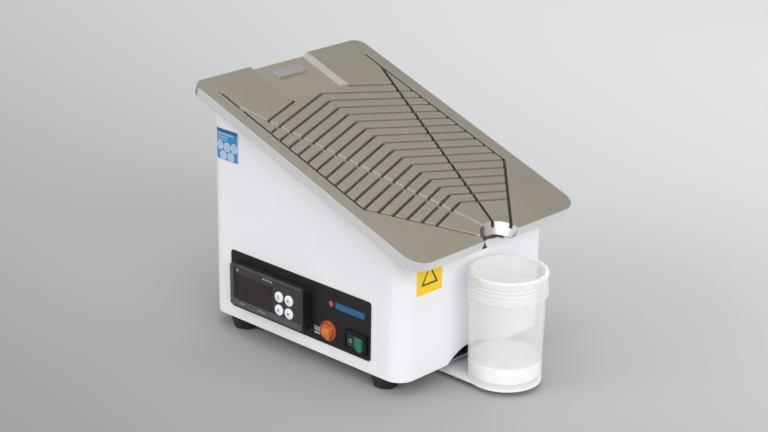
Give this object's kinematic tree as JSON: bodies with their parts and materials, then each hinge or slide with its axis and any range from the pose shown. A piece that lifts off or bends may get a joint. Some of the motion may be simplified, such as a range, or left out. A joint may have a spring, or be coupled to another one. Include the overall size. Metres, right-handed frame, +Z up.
{
  "type": "heated wax trimming plate",
  "caption": "Heated, inclined, grooved metal plate on a wedge-shaped housing; melted wax drains through a notch into a jar on a tray.",
  "frame": {"origin": "centre of the housing's footprint on the bench plane, under the feet", "axes": "+Z up, +X towards the drain end and the jar, -Y towards the control panel"},
  "size_m": [0.2535, 0.168, 0.1844],
  "materials": {
    "housing_paint": "satin powder coat",
    "zinc_sheet": "zinc-plated sheet",
    "plated_steel": "zinc plated",
    "foot_rubber": "matt",
    "plate_metal": "fine bead-blasted, satin",
    "silicone_gasket": "matt",
    "heater_silicone": "matt",
    "clamp_aluminium": "satin",
    "insulation_felt": "felted",
    "probe_steel": "satin",
    "cutout_body": "matt",
    "fascia_film": "fine grained film",
    "bezel_plastic": "fine moulded texture",
    "gasket_rubber": "matt",
    "smoked_window": "polished, smoked red",
    "case_plastic": "moulded",
    "board_green": "solder mask",
    "display_plastic": "moulded",
    "terminal_green": "moulded",
    "button_white": "satin",
    "lens_orange": "polished, translucent",
    "switch_black": "satin",
    "rocker_green": "polished",
    "tab_brass": "tin-plated",
    "fuse_glass": "clear",
    "label_blue": "printed vinyl",
    "label_yellow": "printed vinyl",
    "jar_plastic": "translucent polypropylene",
    "wax_white": "set wax",
    "lead_dark": "pvc sleeve",
    "lead_red": "silicone sleeve",
    "lead_grey": "pvc sleeve",
    "lead_green": "pvc sleeve"
  },
  "bodies": {
    "frame": {"housing_shell": "housing_paint", "jar_tray": "housing_paint", "base_plate": "zinc_sheet", "base_screws": "plated_steel", "base_nuts": "plated_steel", "foot_screws": "plated_steel", "foot_nuts": "plated_steel", "plate_studs": "plated_steel", "plate_nuts": "plated_steel", "clamp_studs": "plated_steel", "clamp_nuts": "plated_steel", "cutout_screws": "plated_steel", "inlet_screws": "plated_steel", "inlet_nuts": "plated_steel", "tray_screws": "plated_steel", "tray_nuts": "plated_steel", "rubber_feet": "foot_rubber", "hot_plate": "plate_metal", "plate_gasket": "silicone_gasket", "heater_mat": "heater_silicone", "heater_clamp": "clamp_aluminium", "sensor_block": "clamp_aluminium", "insulation_pad": "insulation_felt", "temperature_probe": "probe_steel", "thermal_cutout": "cutout_body", "fascia_panel": "fascia_film", "controller_bezel": "bezel_plastic", "controller_gasket": "gasket_rubber", "display_window": "smoked_window", "controller_case": "case_plastic", "case_clips": "case_plastic", "tact_switches": "case_plastic", "lamp_body": "case_plastic", "lamp_nut": "case_plastic", "display_board": "board_green", "display_module": "display_plastic", "controller_terminals": "terminal_green", "lamp_lens": "lens_orange", "switch_body": "switch_black", "inlet_body": "switch_black", "switch_tabs": "tab_brass", "inlet_pins": "tab_brass", "earth_stud": "tab_brass", "info_label": "label_blue", "caution_label": "label_yellow", "mains_leads": "lead_dark", "heater_leads": "lead_red", "sensor_lead": "lead_grey", "earth_lead": "lead_green"},
    "button_set": {"button_set": "button_white"},
    "button_up": {"button_up": "button_white"},
    "button_function": {"button_function": "button_white"},
    "button_down": {"button_down": "button_white"},
    "rocker": {"switch_rocker": "rocker_green"},
    "fuse_holder": {"fuse_drawer": "switch_black", "fuse": "fuse_glass"},
    "jar": {"collecting_jar": "jar_plastic", "collected_wax": "wax_white"}
  },
  "joints": [
    {"name": "button_set_press", "type": "slide", "parent": "frame", "child": "button_set", "axis": [0, 1, 0], "range_m": [0, 0.0006], "stiffness_N_per_m": 400},
    {"name": "button_up_press", "type": "slide", "parent": "frame", "child": "button_up", "axis": [0, 1, 0], "range_m": [0, 0.0006], "stiffness_N_per_m": 400},
    {"name": "button_function_press", "type": "slide", "parent": "frame", "child": "button_function", "axis": [0, 1, 0], "range_m": [0, 0.0006], "stiffness_N_per_m": 400},
    {"name": "button_down_press", "type": "slide", "parent": "frame", "child": "button_down", "axis": [0, 1, 0], "range_m": [0, 0.0006], "stiffness_N_per_m": 400},
    {"name": "rocker_tilt", "type": "hinge", "parent": "frame", "child": "rocker", "pos_m": [0.054, -0.0728, 0.0304], "axis": [0, 0, 1], "range_deg": [0, 22]},
    {"name": "fuse_drawer_slide", "type": "slide", "parent": "frame", "child": "fuse_holder", "axis": [-1, 0, 0], "range_m": [0, 0.017]},
    {"name": "jar_slide", "type": "slide", "parent": "frame", "child": "jar", "axis": [1, 0, 0], "range_m": [0, 0.06]}
  ]
}
